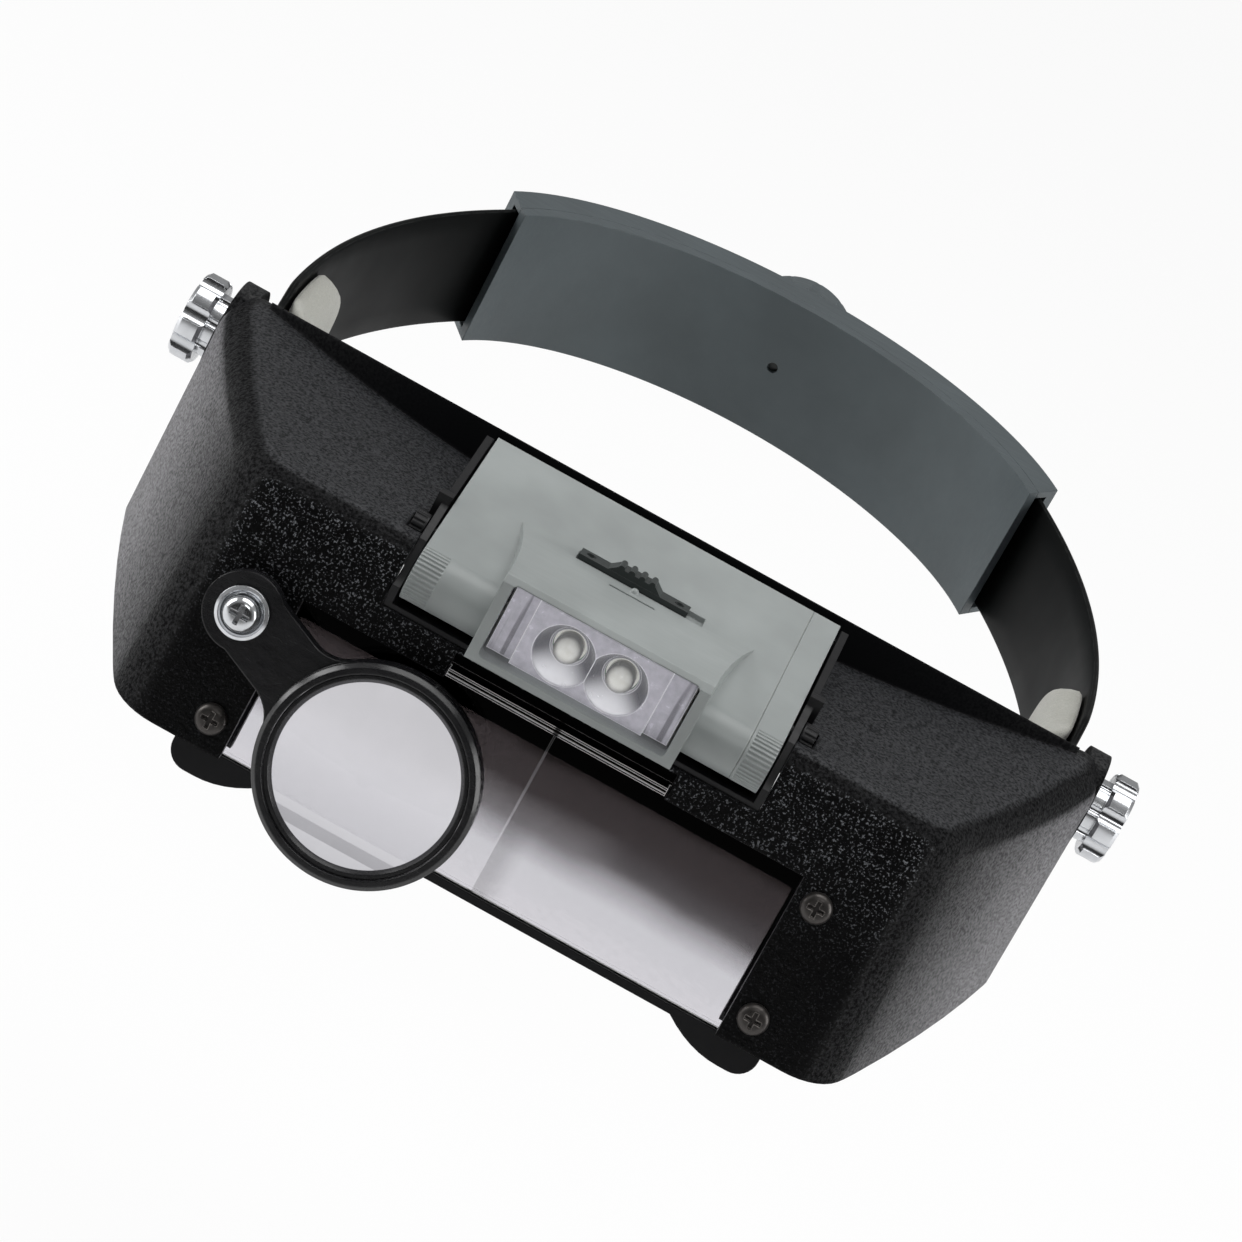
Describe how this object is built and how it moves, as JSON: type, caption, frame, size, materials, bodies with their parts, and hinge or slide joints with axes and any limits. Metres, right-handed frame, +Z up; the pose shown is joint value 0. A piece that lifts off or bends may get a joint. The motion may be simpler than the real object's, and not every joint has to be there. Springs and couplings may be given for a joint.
{
  "type": "head visor magnifier",
  "caption": "Headband visor magnifier: tilting black visor with a two-eye lens, flip-down lens, swing-out loupe and tilting LED lamp, on a knob-adjusted strap.",
  "frame": {"origin": "middle of the visor's tilt axis, halfway between the two temple thumb screws", "axes": "+Z up, +X towards the wearer's left (viewer's right from the front), the visor faces -Y and the adjuster knob is at +Y"},
  "size_m": [0.1964, 0.2638, 0.0696],
  "materials": {
    "visor_black": "coarse moulded texture on the front, finer on roof and sides",
    "bracket_black": "plain moulded black",
    "loupe_black": "satin to gloss black",
    "clear_acrylic": "polished clear acrylic",
    "lens_acrylic": "polished clear acrylic lens plate",
    "loupe_acrylic": "ground and polished clear acrylic",
    "chrome": "bright chrome plate",
    "dark_screw": "black oxide",
    "steel": "plain steel",
    "brass": "turned brass",
    "lamp_grey": "fine satin grey plastic",
    "switch_black": "moulded, slightly worn ridges",
    "reflector": "vacuum-metallised plastic",
    "led_epoxy": "milky clear epoxy",
    "board_green": "solder-masked board",
    "battery": "plain wrapper, no lettering",
    "strap_grey": "smooth satin strap",
    "housing_slate": "fine satin slate plastic",
    "band_black": "plain moulded black",
    "foam_grey": "soft brushed fabric over foam",
    "nylon_white": "natural nylon"
  },
  "bodies": {
    "headband": {"front_band": "band_black", "forehead_pad": "foam_grey", "left_strap": "strap_grey", "right_strap": "strap_grey", "strap_rivets": "dark_screw", "pivot_blocks": "bracket_black", "pivot_inserts": "brass", "friction_washers": "steel"},
    "left_thumb": {"left_thumb_screw": "chrome"},
    "right_thumb": {"right_thumb_screw": "chrome"},
    "visor": {"visor_shell": "visor_black", "lens_plate": "lens_acrylic", "lens_frame": "bracket_black", "window_screws": "dark_screw", "flip_hinge_pins": "steel", "loupe_pivot_screw": "chrome", "loupe_cup_washer": "chrome", "loupe_spring_washer": "steel", "loupe_pivot_nut": "steel", "lamp_bracket": "bracket_black", "lamp_pivot_knobs": "bracket_black"},
    "loupe": {"loupe_arm": "loupe_black", "loupe_lens": "loupe_acrylic", "loupe_retaining_ring": "loupe_black"},
    "flip": {"flip_frame": "bracket_black", "flip_lens": "clear_acrylic"},
    "lamp": {"lamp_housing": "lamp_grey", "lamp_base": "lamp_grey", "battery_door": "lamp_grey", "lamp_window": "clear_acrylic", "led_reflector": "reflector", "leds": "led_epoxy", "lamp_board": "board_green", "batteries": "battery", "battery_contacts": "brass", "base_screws": "steel", "switch_contact": "brass"},
    "switch": {"switch_knob": "switch_black"},
    "rear_housing": {"rear_housing_outer": "housing_slate", "rear_housing_inner": "housing_slate", "knob_washer": "nylon_white"},
    "adjuster": {"adjuster_knob": "housing_slate", "rack_pinion": "switch_black", "knob_screw": "steel"},
    "left_tail": {"left_rack_tail": "strap_grey"},
    "right_tail": {"right_rack_tail": "strap_grey"}
  },
  "joints": [
    {"name": "visor_tilt", "type": "hinge", "parent": "headband", "child": "visor", "pos_m": [0, 0, 0], "axis": [-1, 0, 0], "range_deg": [0, 50]},
    {"name": "left_thumb_turn", "type": "hinge", "parent": "headband", "child": "left_thumb", "pos_m": [-0.09, 0, 0], "axis": [-1, 0, 0], "range_deg": [-180, 180]},
    {"name": "right_thumb_turn", "type": "hinge", "parent": "headband", "child": "right_thumb", "pos_m": [0.09, 0, 0], "axis": [1, 0, 0], "range_deg": [-180, 180]},
    {"name": "loupe_swing", "type": "hinge", "parent": "visor", "child": "loupe", "pos_m": [-0.056, -0.07204, -0.01455], "axis": [0, -0.9781, 0.2079], "range_deg": [-120, 3]},
    {"name": "flip_swing", "type": "hinge", "parent": "visor", "child": "flip", "pos_m": [0, -0.05712, -0.01026], "axis": [1, 0, 0], "range_deg": [0, 70]},
    {"name": "lamp_tilt", "type": "hinge", "parent": "visor", "child": "lamp", "pos_m": [0, -0.057, 0.008], "axis": [1, 0, 0], "range_deg": [0, 8]},
    {"name": "switch_slide", "type": "slide", "parent": "lamp", "child": "switch", "axis": [1, 0, 0], "range_m": [0, 0.003]},
    {"name": "size_slide", "type": "slide", "parent": "headband", "child": "rear_housing", "axis": [0, 1, 0], "range_m": [-0.012, 0.015], "deforming": ["left_strap", "right_strap"]},
    {"name": "knob_turn", "type": "hinge", "parent": "rear_housing", "child": "adjuster", "pos_m": [0, 0.165, -0.003], "axis": [0, 1, 0], "range_deg": [-120, 150]},
    {"name": "left_tail_turn", "type": "hinge", "parent": "rear_housing", "child": "left_tail", "pos_m": [0, 0.088, -0.003], "axis": [0, 0, 1], "range_deg": [-10.5, 13]},
    {"name": "right_tail_turn", "type": "hinge", "parent": "rear_housing", "child": "right_tail", "pos_m": [0, 0.088, -0.003], "axis": [0, 0, 1], "range_deg": [-13, 10.5]}
  ],
  "couplings": [
    {"joint": "knob_turn", "follows": "size_slide", "rad_per_m": 166.67},
    {"joint": "left_tail_turn", "follows": "size_slide", "rad_per_m": 14.368},
    {"joint": "right_tail_turn", "follows": "size_slide", "rad_per_m": -14.006}
  ]
}
